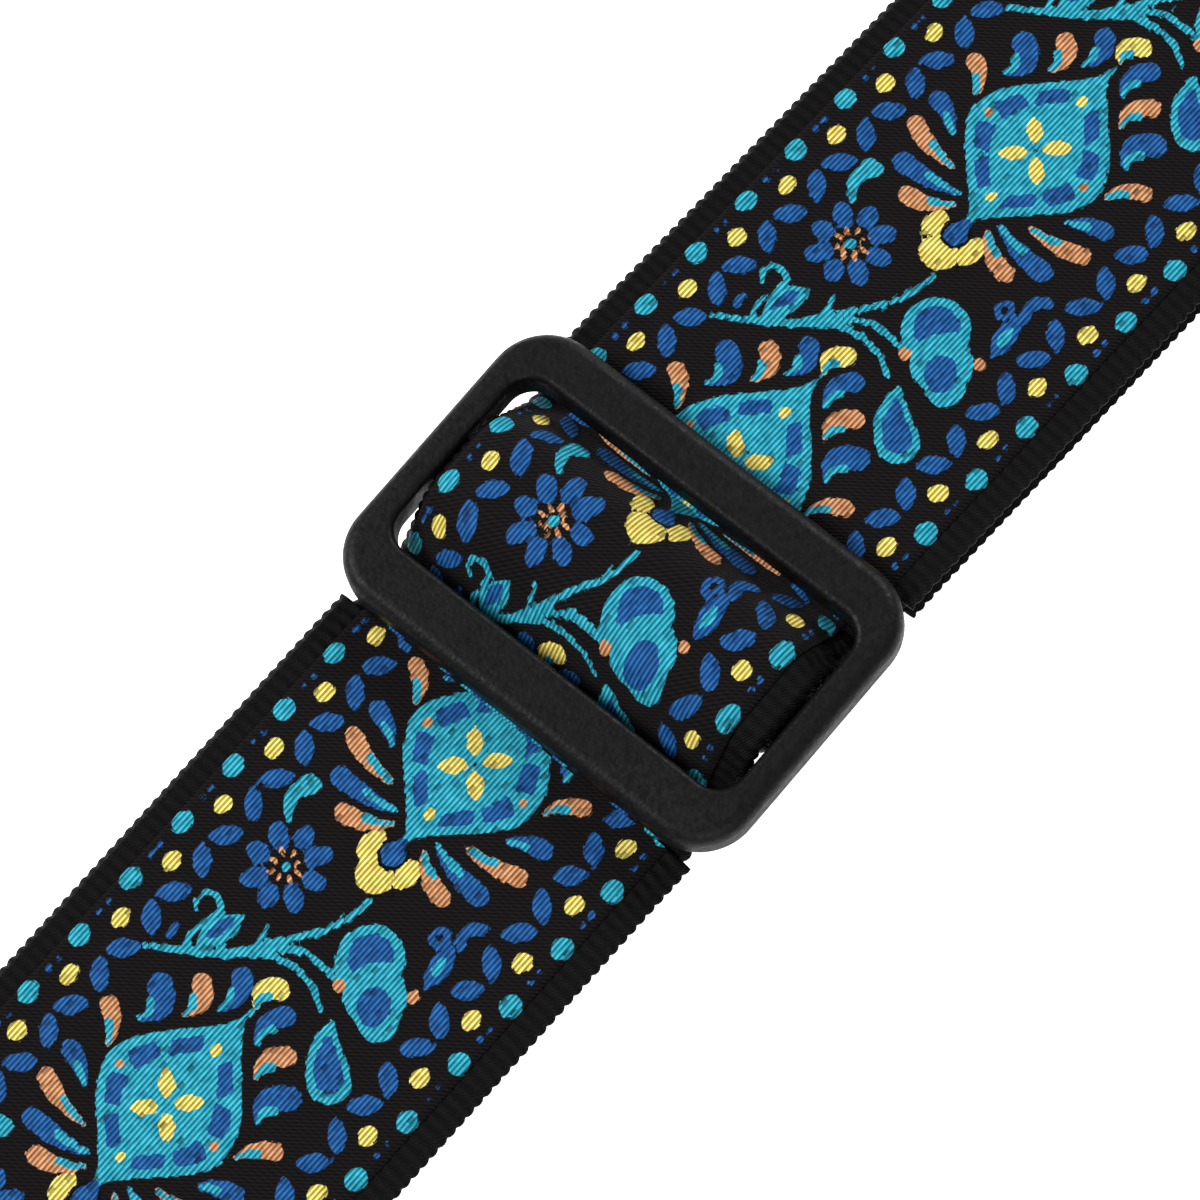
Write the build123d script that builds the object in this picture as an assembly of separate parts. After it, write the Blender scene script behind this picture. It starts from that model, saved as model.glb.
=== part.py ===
"""Adjustable guitar strap, laid straight on a surface.

+X runs along the strap from the sewn end tab to the ring's end tab, +Y across it, +Z up. The origin is in the
middle of the box, on the surface that the strap lies on. Units are millimetres.
"""

import math
import os

from build123d import *

# Strap: a ribbed webbing with a patterned ribbon sewn to its face
STRAP_WIDTH = 50.0
SELVEDGE = 3.2  # webbing that shows beside the ribbon, on each side
RIBBON_WIDTH = STRAP_WIDTH - 2 * SELVEDGE
WEBBING = 1.4  # thickness
RIBBON = 0.5  # thickness
LAYER_GAP = 0.2  # between layers that slide on each other
SEWN_GAP = 0.05  # between layers sewn together

# Adjuster: one moulding of two outer bars, two side rails and a centre bar
STRAP_BITE = 1.5  # how much narrower than the strap the opening is
OPENING_LENGTH = STRAP_WIDTH - STRAP_BITE  # across the strap
OPENING_WIDTH = 24.2  # along the strap
RAIL = 3.6
RING_SIDE_BAR = 6.2
TAB_SIDE_BAR = 7.0
FRAME_THICK = 5.0
FRAME_CORNER = 7.0
OPENING_CORNER = 3.2
FRAME_EDGE = 1.6  # rounding of the frame's outer edges
OPENING_EDGE = 0.8
CENTRE_BAR_WIDTH = 6.0
CENTRE_BAR_THICK = 2.6
CENTRE_BAR_FLAT = 0.2  # flat left on the centre bar's rounded edges
CENTRE_BAR_RISE = 0.6  # from the frame's underside to the centre bar's
FRAME_HEIGHT = 11.4  # the frame's underside above the surface
FRAME_SKEW = 2.0  # degrees the frame stands off square
HUMP_SIDE_CLEAR = 0.45  # between the squeezed strap and each rail
HUMP_RIBBON_SHIFT = 1.3  # the strap curls further at one rail, which carries the ribbon towards +Y

# Bends of the strap
SLOPE = 3.0  # degrees the strap falls away on each side of the adjuster
SLOPE_START = 5.5  # from the frame's edge to where the slope begins
SLOPE_BEND = 60.0  # radius beside the adjuster
FLOOR_BEND = 200.0  # radius where the slope meets the surface
HUMP_TOP_BEND = 4.4
HUMP_FOOT_BEND = 2.4
HUMP_FOOT_CLEAR = 0.2  # from the frame's inner face to the strap's top face at the hump's foot
HUMP_SLACK = 0.3  # extra room beside the centre bar

# The sewn loop on the centre bar
BAR_LOOP_SPREAD = 0.2  # the upper layer's drop stands off the bar by this
BAR_LOOP_NIP = 1.8  # the lower layer drops this far inside the upper one
BAR_LOOP_UPPER_BENDS = (2.6, 2.0)
BAR_LOOP_LOWER_BENDS = (3.0, 1.6)
LOOP_EASE = 0.1  # kept between a tight turn's radius and half the gap it turns in

# Ring: two round bars and two flat side rails
RING_BAR_RADIUS = 2.2
RING_BAR_SPACING = 24.4
RING_PLAY = 1.0  # the strap's side play between the rails
RING_OPENING = STRAP_WIDTH + RING_PLAY
RING_RAIL = 2.8
RING_RAIL_RADIUS = 2.7
RING_RAIL_EDGE = 0.9
RING_CLEARANCE = 0.2

# Lengths along the strap, from the adjuster's middle
TAB_EDGE_X = 400.0
RING_X = 340.0
LOOP_END = 22.0  # sewn overlap past the frame
TURN_LENGTH = 16.0  # the strap's teardrop round the ring, measured from the bar
TURN_EASE = 3.0  # level stretch at each end of the teardrop's slopes
TURN_BEND = 5.0

# End tabs
LEATHER = 2.0
TAB_WIDTH = STRAP_WIDTH
TAB_CORNER = 1.5
TAB_STRAIGHT = 34.0
TAB_LENGTH = 92.0
TAB_TIP_RADIUS = 14.0
BUTTON_HOLE_RADIUS = 4.5
BUTTON_HOLE_INSET = 17.0  # from the tip
SLIT_LENGTH = 11.0
SLIT_WIDTH = 1.2
WEBBING_IN_TAB = 28.0
PLY_STEP_START = 1.0  # the upper ply steps down this far past the strap's end
PLY_STEP_RUN = 6.0
PLY_STEP_BEND = 5.0
RING_TAB_FOLD = 42.0  # length of the leather folded back under the tab
TAB_TURN_LEVEL = 2.0  # the face ply stays level this far past the bar
TAB_TURN_DOWN = 17.0  # and meets the folded end here
TAB_TURN_BEND = 9.0
LIFT_RUN = 24.0  # the strap rises to the sewn tab over this length
LIFT_START = 4.0  # and is level this far before the tab's edge

# Thread
STITCH_LENGTH = 3.2
STITCH_PITCH = 4.2
STITCH_WIDTH = 0.6
STITCH_HEIGHT = 0.3
STITCH_INSET = 3.5

STRAP_THICK = WEBBING + RIBBON
HUMP_WIDTH = OPENING_LENGTH - 2 * HUMP_SIDE_CLEAR
FRAME_HALF = (OPENING_WIDTH + RING_SIDE_BAR + TAB_SIDE_BAR) / 2
OPENING_SHIFT = (TAB_SIDE_BAR - RING_SIDE_BAR) / 2
SIDE_STEP = FRAME_HALF * math.sin(math.radians(FRAME_SKEW))
FALL = math.tan(math.radians(SLOPE))
BAR_TOP = FRAME_HEIGHT + CENTRE_BAR_RISE + CENTRE_BAR_THICK
BAR_BOTTOM = FRAME_HEIGHT + CENTRE_BAR_RISE
FACE_LEVEL = FRAME_HEIGHT - LAYER_GAP - STRAP_THICK  # webbing's underside below the outer bars
SEAM_LEVEL = FACE_LEVEL - LAYER_GAP - WEBBING  # top of the return layer at the adjuster
FLOOR_SEAM = STRAP_THICK  # top of the return layer where it lies flat
LOOP_RADIUS = RING_BAR_RADIUS + RING_CLEARANCE
RING_Z = max(LEATHER, STRAP_THICK) + LOOP_RADIUS  # the thicker loop lies on the surface


def turn_side(before, at, after):
    """Positive where a path turns left at a point."""
    ax, az = at[0] - before[0], at[1] - before[1]
    bx, bz = after[0] - at[0], after[1] - at[1]
    return ax * bz - az * bx


def shifted(points, offset):
    """The path moved sideways by an offset, to its left."""

    def normal(a, b):
        length = math.dist(a, b)
        return (-(b[1] - a[1]) / length, (b[0] - a[0]) / length)

    moved = []
    last = len(points) - 1
    for i, point in enumerate(points):
        before = normal(points[max(i - 1, 0)], points[max(i, 1)])
        after = normal(points[min(i, last - 1)], points[min(i + 1, last)])
        share = offset / (1 + before[0] * after[0] + before[1] * after[1])
        moved.append((point[0] + (before[0] + after[0]) * share, point[1] + (before[1] + after[1]) * share))
    return moved


def bent_line(points, radii, offset):
    """A path of straight runs and tangent arcs, at an offset to the left of its reference.

    A corner that doesn't turn needs no arc and is left out.
    """
    inner = range(1, len(points) - 1)
    turning = [i for i in inner if abs(turn_side(points[i - 1], points[i], points[i + 1])) > 1e-6]
    radii = [radii[i - 1] for i in turning]
    points = [points[0], *(points[i] for i in turning), points[-1]]
    corners = shifted(points, offset)
    rounds = []
    for i, radius in enumerate(radii, 1):
        left = turn_side(points[i - 1], points[i], points[i + 1]) > 0
        rounds.append(radius - offset if left else radius + offset)
    if not rounds:
        return Line(*corners)
    return FilletPolyline(*corners, radius=rounds)


def strip(points, radii, low, high, width, side=0.0):
    """A band that follows a side-view path, between two offsets from it, extruded across the strap."""
    near = bent_line(points, radii, low)
    far = bent_line(points, radii, high)
    outline = [*near.edges(), *far.edges(), Line(near @ 0, far @ 0), Line(near @ 1, far @ 1)]
    profile = Plane.XZ * make_face(outline)
    return Pos(0, side, 0) * extrude(profile, width / 2, both=True)


def square_end(direction):
    """A block that cuts a run of strap off along the skewed frame's outer face."""
    reach = 2 * FRAME_HALF
    block = Pos(direction * (FRAME_HALF - reach), 0, 0) * Box(2 * reach, 3 * STRAP_WIDTH, 2 * reach)
    return Rot(0, 0, FRAME_SKEW) * block


def write(name, shape):
    """Writes one node's STEP."""
    shape.label = name
    export_step(shape, f"parts/{name}.step")


def adjuster_frame():
    """The moulded frame with its centre bar, standing a little off square."""
    outer = RectangleRounded(2 * FRAME_HALF, OPENING_LENGTH + 2 * RAIL, FRAME_CORNER)
    frame = extrude(outer, FRAME_THICK)
    frame = fillet(frame.edges().filter_by(Axis.Z, reverse=True), FRAME_EDGE)
    opening = extrude(RectangleRounded(OPENING_WIDTH, OPENING_LENGTH, OPENING_CORNER), FRAME_THICK)
    frame -= Pos(OPENING_SHIFT, 0, 0) * opening
    rims = [e for e in frame.edges() if on_opening_rim(e)]
    frame = fillet(rims, OPENING_EDGE)
    bar = Box(CENTRE_BAR_WIDTH, OPENING_LENGTH + RAIL, CENTRE_BAR_THICK)
    bar = fillet(bar.edges().filter_by(Axis.Y), (CENTRE_BAR_THICK - CENTRE_BAR_FLAT) / 2)
    frame += Pos(0, 0, CENTRE_BAR_RISE + CENTRE_BAR_THICK / 2) * bar
    return Rot(0, 0, FRAME_SKEW) * Pos(0, 0, FRAME_HEIGHT) * frame


def on_opening_rim(edge):
    """True for the edges round the opening on the frame's two faces."""
    box = edge.bounding_box()
    level = abs(box.min.Z - box.max.Z) < 0.01
    on_face = min(abs(box.min.Z), abs(box.min.Z - FRAME_THICK)) < 0.01
    inside_x = max(abs(box.min.X - OPENING_SHIFT), abs(box.max.X - OPENING_SHIFT)) < OPENING_WIDTH / 2 + 0.01
    inside_y = max(abs(box.min.Y), abs(box.max.Y)) < OPENING_LENGTH / 2 + 0.01
    return level and on_face and inside_x and inside_y


def hump_foot(inner_face, rise, half):
    """How far out the hump's foot stands for the bent strap's top face to clear the bar."""
    foot = inner_face - HUMP_FOOT_CLEAR
    for _ in range(20):
        turn = math.atan2(rise, foot - half)
        foot = inner_face - HUMP_FOOT_CLEAR - STRAP_THICK * math.tan(turn / 2)
    return foot


def hump_path():
    """The webbing's underside through the frame: under the bars and over the centre bar."""
    top = BAR_TOP + LAYER_GAP + WEBBING + LAYER_GAP
    half = CENTRE_BAR_WIDTH / 2 + LAYER_GAP + WEBBING + HUMP_SLACK
    tab_foot = -hump_foot(OPENING_WIDTH / 2 - OPENING_SHIFT, top - FACE_LEVEL, half)
    ring_foot = hump_foot(OPENING_WIDTH / 2 + OPENING_SHIFT, top - FACE_LEVEL, half)
    points = [
        (-FRAME_HALF, FACE_LEVEL),
        (tab_foot, FACE_LEVEL),
        (-half, top),
        (half, top),
        (ring_foot, FACE_LEVEL),
        (FRAME_HALF, FACE_LEVEL),
    ]
    return points, [HUMP_FOOT_BEND, HUMP_TOP_BEND, HUMP_TOP_BEND, HUMP_FOOT_BEND]


def hump(low, high, width, side=0.0):
    """A layer of the strap inside the frame."""
    points, radii = hump_path()
    return Rot(0, 0, FRAME_SKEW) * strip(points, radii, low, high, width, side)


def bar_loop():
    """The strap's end, sewn round the centre bar: under it, back over it and down on to the return layer."""
    inner_x = CENTRE_BAR_WIDTH / 2 + LAYER_GAP
    over = BAR_TOP + LAYER_GAP
    under = BAR_BOTTOM - LAYER_GAP
    hump_points, _ = hump_path()
    lean = (hump_points[4][0] - hump_points[3][0]) / (hump_points[3][1] - hump_points[4][1])
    down_x = inner_x + BAR_LOOP_SPREAD + (over - SEAM_LEVEL) * lean
    upper = [
        (FRAME_HALF, SEAM_LEVEL + SEWN_GAP),
        (down_x, SEAM_LEVEL + SEWN_GAP),
        (inner_x + BAR_LOOP_SPREAD, over),
        (-inner_x, over),
        (-inner_x, under),
        (inner_x, under),
        (down_x - BAR_LOOP_NIP, SEAM_LEVEL),
        (FRAME_HALF, SEAM_LEVEL),
    ]
    tight = (over - under) / 2 - LOOP_EASE
    radii = [*BAR_LOOP_UPPER_BENDS, tight, tight, *BAR_LOOP_LOWER_BENDS]
    loop = strip(upper, radii, -WEBBING, 0, HUMP_WIDTH)
    loop = Rot(0, 0, FRAME_SKEW) * loop
    start = FRAME_HALF - SIDE_STEP
    end = FRAME_HALF + LOOP_END
    bend = FRAME_HALF + SLOPE_START
    level = SEAM_LEVEL + SEWN_GAP
    tail_points = [(start - SIDE_STEP, level), (bend, level), (end, level - (end - bend) * FALL)]
    tail = strip(tail_points, [SLOPE_BEND], 0, WEBBING, STRAP_WIDTH, SIDE_STEP) - square_end(1)
    return loop + tail


def slope_end(level, floor):
    """Where a layer that leaves the frame at a level reaches its resting level."""
    return FRAME_HALF + SLOPE_START + (level - floor) / FALL


def long_run(low, high, width):
    """A layer of the strap from the frame down to the surface and on into the sewn tab."""
    flat_x = slope_end(FACE_LEVEL, 0)
    points = [
        (-TAB_EDGE_X - WEBBING_IN_TAB, LEATHER),
        (-TAB_EDGE_X + LIFT_START, LEATHER),
        (-TAB_EDGE_X + LIFT_START + LIFT_RUN, 0),
        (-flat_x, 0),
        (-FRAME_HALF - SLOPE_START, FACE_LEVEL),
        (-FRAME_HALF + 2 * SIDE_STEP, FACE_LEVEL),
    ]
    radii = [FLOOR_BEND / 3, FLOOR_BEND / 3, FLOOR_BEND, SLOPE_BEND]
    run = strip(points, radii, low, high, width, -SIDE_STEP)
    return run - square_end(-1)


def face_run(low, high, width):
    """A layer of the strap's upper run, from the frame to the teardrop at the ring."""
    rest = FLOOR_SEAM + LAYER_GAP
    points = [
        (FRAME_HALF - 2 * SIDE_STEP, FACE_LEVEL),
        (FRAME_HALF + SLOPE_START, FACE_LEVEL),
        (slope_end(FACE_LEVEL, rest), rest),
        (RING_X - TURN_LENGTH, rest),
    ]
    return strip(points, [SLOPE_BEND, FLOOR_BEND], low, high, width, SIDE_STEP) - square_end(1)


def return_run(low, high, width):
    """A layer of the strap's lower run, from the teardrop back to the frame, at offsets below its top."""
    points = [
        (FRAME_HALF - 2 * SIDE_STEP, SEAM_LEVEL),
        (FRAME_HALF + SLOPE_START, SEAM_LEVEL),
        (slope_end(SEAM_LEVEL, FLOOR_SEAM), FLOOR_SEAM),
        (RING_X - TURN_LENGTH, FLOOR_SEAM),
    ]
    return strip(points, [SLOPE_BEND, FLOOR_BEND], -high, -low, width, SIDE_STEP) - square_end(1)


def ring_turn(low, high, width):
    """A layer of the strap's teardrop round the ring's first bar."""
    rest = FLOOR_SEAM + LAYER_GAP
    back_x = RING_X - TURN_LENGTH
    low_z, high_z = RING_Z - LOOP_RADIUS, RING_Z + LOOP_RADIUS
    points = [
        (back_x, FLOOR_SEAM),
        (back_x + TURN_EASE, FLOOR_SEAM),
        (RING_X - TURN_EASE, low_z),
        (RING_X + LOOP_RADIUS, low_z),
        (RING_X + LOOP_RADIUS, high_z),
        (RING_X - TURN_EASE / 2, high_z),
        (back_x + TURN_EASE, rest),
        (back_x, rest),
    ]
    tight = LOOP_RADIUS - LOOP_EASE / 2
    radii = [FLOOR_BEND, FLOOR_BEND, tight, tight, TURN_BEND, TURN_BEND]
    return strip(points, radii, -high, -low, width, SIDE_STEP)


def ring():
    """The rectangular ring: a bar for the strap, a bar for the tab and a rail at each end of them."""
    bar = Rot(90, 0, 0) * Cylinder(RING_BAR_RADIUS, RING_OPENING + RING_RAIL)
    body = bar + Pos(RING_BAR_SPACING, 0, 0) * bar
    rail_outline = Plane.XZ * SlotCenterToCenter(RING_BAR_SPACING, 2 * RING_RAIL_RADIUS)
    rail = extrude(rail_outline, RING_RAIL / 2, both=True)
    rail = fillet(rail.edges().filter_by_position(Axis.Y, RING_RAIL / 2 - 0.01, RING_RAIL / 2 + 0.01), RING_RAIL_EDGE)
    middle = RING_BAR_SPACING / 2
    side = (RING_OPENING + RING_RAIL) / 2
    body += Pos(middle, side, 0) * rail
    body += Pos(middle, -side, 0) * Rot(0, 0, 180) * rail
    return Pos(RING_X, SIDE_STEP, RING_Z) * body


def tab_outline():
    """A tab's plan: straight sides that draw in to a round tip, pointing along +X from its seam edge."""
    block = Pos(TAB_STRAIGHT / 2, 0) * RectangleRounded(TAB_STRAIGHT, TAB_WIDTH, TAB_CORNER)
    tip = Pos(TAB_LENGTH - TAB_TIP_RADIUS, 0) * Circle(TAB_TIP_RADIUS)
    return make_hull([*block.edges(), *tip.edges()])


def button_hole():
    """The round hole for the strap button with its slit, to cut from a tab."""
    centre = TAB_LENGTH - BUTTON_HOLE_INSET
    hole = Pos(centre, 0, 0) * Cylinder(BUTTON_HOLE_RADIUS, 20 * LEATHER)
    reach = BUTTON_HOLE_RADIUS + SLIT_LENGTH
    slit = Pos(centre - reach / 2, 0, 0) * Box(reach, SLIT_WIDTH, 20 * LEATHER)
    return hole + slit


def tab_blank(height):
    """A tall tab-shaped block to trim a bent ply to its plan."""
    return extrude(tab_outline(), height) - button_hole()


def place_strap_tab(shape):
    """Moves a tab made along +X to the sewn end of the strap."""
    return Pos(-TAB_EDGE_X, -SIDE_STEP, 0) * Rot(0, 0, 180) * shape


def strap_tab_upper():
    """The upper ply, which steps down from the strap's end on to the lower ply."""
    over = LEATHER + STRAP_THICK
    points = [
        (0, over),
        (WEBBING_IN_TAB + PLY_STEP_START, over),
        (WEBBING_IN_TAB + PLY_STEP_START + PLY_STEP_RUN, LEATHER),
        (TAB_LENGTH, LEATHER),
    ]
    ply = strip(points, [PLY_STEP_BEND, PLY_STEP_BEND], 0, LEATHER, TAB_WIDTH + 4)
    return place_strap_tab(ply & tab_blank(10 * LEATHER))


def strap_tab_lower():
    """The lower ply, flat on the surface."""
    return place_strap_tab(extrude(tab_outline(), LEATHER) - button_hole())


def stitch_row(start, end, level):
    """Thread segments in a line on a level face."""
    length = math.dist(start, end)
    angle = math.degrees(math.atan2(end[1] - start[1], end[0] - start[0]))
    count = max(int(length / STITCH_PITCH), 1)
    row = []
    for i in range(count):
        share = (i + 0.5) / count
        x = start[0] + (end[0] - start[0]) * share
        y = start[1] + (end[1] - start[1]) * share
        thread = Box(STITCH_LENGTH, STITCH_WIDTH, STITCH_HEIGHT)
        row.append(Pos(x, y, level + STITCH_HEIGHT / 2) * Rot(0, 0, angle) * thread)
    return row


def tab_rows(level, first_x, last_x):
    """A box of stitches with a cross in it, on a tab's level face."""
    side = TAB_WIDTH / 2 - STITCH_INSET
    cut = STITCH_PITCH / 2
    threads = stitch_row((first_x, side), (last_x, side), level)
    threads += stitch_row((first_x, -side), (last_x, -side), level)
    threads += stitch_row((first_x, -side + cut), (first_x, side - cut), level)
    threads += stitch_row((last_x, -side + cut), (last_x, side - cut), level)
    return threads


def strap_tab_stitching():
    """The thread that holds the strap's end in the sewn tab."""
    threads = tab_rows(LEATHER * 2 + STRAP_THICK, STITCH_INSET, WEBBING_IN_TAB - STITCH_INSET)
    return place_strap_tab(Compound(children=threads))


def place_ring_tab(shape):
    """Moves a tab made along +X to the ring's second bar."""
    return Pos(RING_X + RING_BAR_SPACING, SIDE_STEP, 0) * shape


def ring_tab_outer():
    """The ring tab's leather: the folded-under end, the turn round the second bar and the face ply to the tip."""
    lower, upper = RING_Z - LOOP_RADIUS, RING_Z + LOOP_RADIUS
    points = [
        (RING_TAB_FOLD, lower),
        (-LOOP_RADIUS, lower),
        (-LOOP_RADIUS, upper),
        (TAB_TURN_LEVEL, upper),
        (TAB_TURN_DOWN, lower + SEWN_GAP),
        (TAB_LENGTH, lower + SEWN_GAP),
    ]
    tight = LOOP_RADIUS - LOOP_EASE / 2
    wrap = strip(points, [tight, tight, TAB_TURN_BEND, TAB_TURN_BEND], 0, LEATHER, TAB_WIDTH + 4)
    plan = extrude(tab_outline(), 20 * LEATHER) - button_hole()
    reach = 4 * LOOP_RADIUS
    plan += Pos(1 - reach / 2, 0, 10 * LEATHER) * Box(reach + 2, TAB_WIDTH, 20 * LEATHER)
    return place_ring_tab(wrap & Pos(0, 0, lower - LEATHER - 1) * plan)


def ring_tab_lining():
    """The lower ply, from the end of the folded-under leather to the tip."""
    ply = extrude(tab_outline(), LEATHER + SEWN_GAP) - button_hole()
    start = RING_TAB_FOLD + LAYER_GAP
    ply -= Pos(start - TAB_LENGTH, 0, 0) * Box(2 * TAB_LENGTH, 2 * TAB_WIDTH, 4 * LEATHER)
    return place_ring_tab(Pos(0, 0, RING_Z - LOOP_RADIUS - LEATHER) * ply)


def ring_tab_stitching():
    """The thread that closes the leather round the ring."""
    level = RING_Z - LOOP_RADIUS + SEWN_GAP + LEATHER
    first = TAB_TURN_DOWN + STITCH_INSET
    return place_ring_tab(Compound(children=tab_rows(level, first, RING_TAB_FOLD - STITCH_INSET)))


NODES = {
    "adjuster_frame": adjuster_frame(),
    "webbing_hump": hump(0, WEBBING, HUMP_WIDTH),
    "ribbon_hump": hump(WEBBING, STRAP_THICK, RIBBON_WIDTH, HUMP_RIBBON_SHIFT),
    "webbing_bar_loop": bar_loop(),
    "webbing_long_run": long_run(0, WEBBING, STRAP_WIDTH),
    "ribbon_long_run": long_run(WEBBING, STRAP_THICK, RIBBON_WIDTH),
    "webbing_face_run": face_run(0, WEBBING, STRAP_WIDTH),
    "ribbon_face_run": face_run(WEBBING, STRAP_THICK, RIBBON_WIDTH),
    "webbing_return_run": return_run(0, WEBBING, STRAP_WIDTH),
    "ribbon_return_run": return_run(WEBBING, STRAP_THICK, RIBBON_WIDTH),
    "webbing_ring_turn": ring_turn(0, WEBBING, STRAP_WIDTH),
    "ribbon_ring_turn": ring_turn(WEBBING, STRAP_THICK, RIBBON_WIDTH),
    "ring": ring(),
    "strap_tab_upper": strap_tab_upper(),
    "strap_tab_lower": strap_tab_lower(),
    "strap_tab_stitching": strap_tab_stitching(),
    "ring_tab_outer": ring_tab_outer(),
    "ring_tab_lining": ring_tab_lining(),
    "ring_tab_stitching": ring_tab_stitching(),
}

boxes = [shape.bounding_box() for shape in NODES.values()]
middle_x = (min(b.min.X for b in boxes) + max(b.max.X for b in boxes)) / 2
middle_y = (min(b.min.Y for b in boxes) + max(b.max.Y for b in boxes)) / 2
lowest = min(b.min.Z for b in boxes)

os.makedirs("parts", exist_ok=True)
for node_name, node_shape in NODES.items():
    write(node_name, Pos(-middle_x, -middle_y, -lowest) * node_shape)
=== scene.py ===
"""Looks of an adjustable woven guitar strap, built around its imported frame.

The strap's layers follow one route in side view, read in metres: +X along the strap, +Y across it, +Z up.
"""

import logging
import math
from dataclasses import dataclass
from enum import Enum

import bmesh
import bpy
import numpy as np
from mathutils import Matrix, Vector

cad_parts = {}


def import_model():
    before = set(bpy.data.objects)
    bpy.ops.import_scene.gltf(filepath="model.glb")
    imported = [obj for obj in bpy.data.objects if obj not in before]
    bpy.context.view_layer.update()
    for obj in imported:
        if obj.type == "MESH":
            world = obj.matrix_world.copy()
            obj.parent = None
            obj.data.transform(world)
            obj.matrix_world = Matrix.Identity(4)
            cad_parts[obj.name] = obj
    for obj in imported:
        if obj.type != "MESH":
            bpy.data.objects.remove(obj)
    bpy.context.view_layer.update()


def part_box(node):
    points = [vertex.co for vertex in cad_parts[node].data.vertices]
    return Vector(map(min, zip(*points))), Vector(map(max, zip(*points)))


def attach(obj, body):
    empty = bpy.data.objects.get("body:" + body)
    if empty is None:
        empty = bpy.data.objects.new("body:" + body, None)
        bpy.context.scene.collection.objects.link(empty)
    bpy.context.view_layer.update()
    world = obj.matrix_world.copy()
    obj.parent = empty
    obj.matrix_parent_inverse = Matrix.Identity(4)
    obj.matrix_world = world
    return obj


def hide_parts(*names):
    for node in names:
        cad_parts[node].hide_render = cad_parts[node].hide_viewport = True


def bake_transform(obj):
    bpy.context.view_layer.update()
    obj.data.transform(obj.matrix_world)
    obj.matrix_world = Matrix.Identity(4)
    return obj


log = logging.getLogger("strap")
MM = 0.001
PATTERN_DRAWN = 50.6  # mm, the repeat that the motifs' places are given for
PATTERN_START = 29.7  # mm from the adjuster's middle, along the strap, to a repeat's first border dot

Field = np.ndarray
Spot = tuple[float, float]
Corners = tuple[list[Spot], list[float]]

# Colour layers of the woven drawing, each over the ones before it
LAYER_ORDER = ("teal", "blue", "yellow", "tan", "dark", "light", "heart", "light_top", "tan_top")


@dataclass(frozen=True)
class Centre:
    """The adjuster's middle in plan, in millimetres."""

    x: float
    y: float


class Side(Enum):
    """Which way a layer's face points along the route."""

    FACE = 1
    BACK = -1


@dataclass(frozen=True)
class StrapSizes:
    """The strap's and adjuster's driving sizes, in millimetres."""

    width: float = 50.0
    ribbon_width: float = 43.6
    webbing: float = 1.4
    ribbon: float = 0.5
    gap: float = 0.2
    slope: float = 3.0
    slope_start: float = 5.5
    slope_bend: float = 60.0
    floor_bend: float = 200.0
    frame_height: float = 11.4
    frame_half: float = 18.7
    opening_shift: float = 0.4
    opening_width: float = 24.2
    centre_bar_top: float = 14.6
    centre_bar_half: float = 3.0
    foot_clear: float = 0.2
    foot_bend: float = 2.4
    top_bend: float = 4.4
    skew: float = 2.0
    hump_width: float = 47.6
    hump_slack: float = 0.3
    bar_rise: float = 0.6
    loop_spread: float = 0.2
    loop_nip: float = 1.8
    loop_ease: float = 0.1
    loop_bends: tuple[float, ...] = (2.6, 2.0, 3.0, 1.6)
    hump_shift: float = 1.3
    loop_end: float = 22.0
    sewn_gap: float = 0.05
    loop_radius: float = 2.4
    leather: float = 2.0
    tab_edge: float = 400.0
    in_tab: float = 28.0
    tail_clear: float = 1.0
    lift_start: float = 4.0
    lift_run: float = 24.0
    ring_x: float = 340.0
    turn_length: float = 16.0
    turn_ease: float = 3.0
    turn_bend: float = 5.0
    turn_slack: float = 0.05
    blend_before: float = 4.0
    blend_after: float = 26.0
    repeat: float = 49.4

    @property
    def thick(self) -> float:
        """The webbing and the ribbon together."""
        return self.webbing + self.ribbon

    @property
    def step(self) -> float:
        """How far the strap steps sideways on each side of the skewed frame."""
        return self.frame_half * math.sin(math.radians(self.skew))

    @property
    def face_level(self) -> float:
        """Underside of the webbing below the outer bars."""
        return self.frame_height - self.gap - self.thick

    @property
    def seam_level(self) -> float:
        """Top of the return layer at the adjuster."""
        return self.face_level - self.gap - self.webbing


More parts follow.
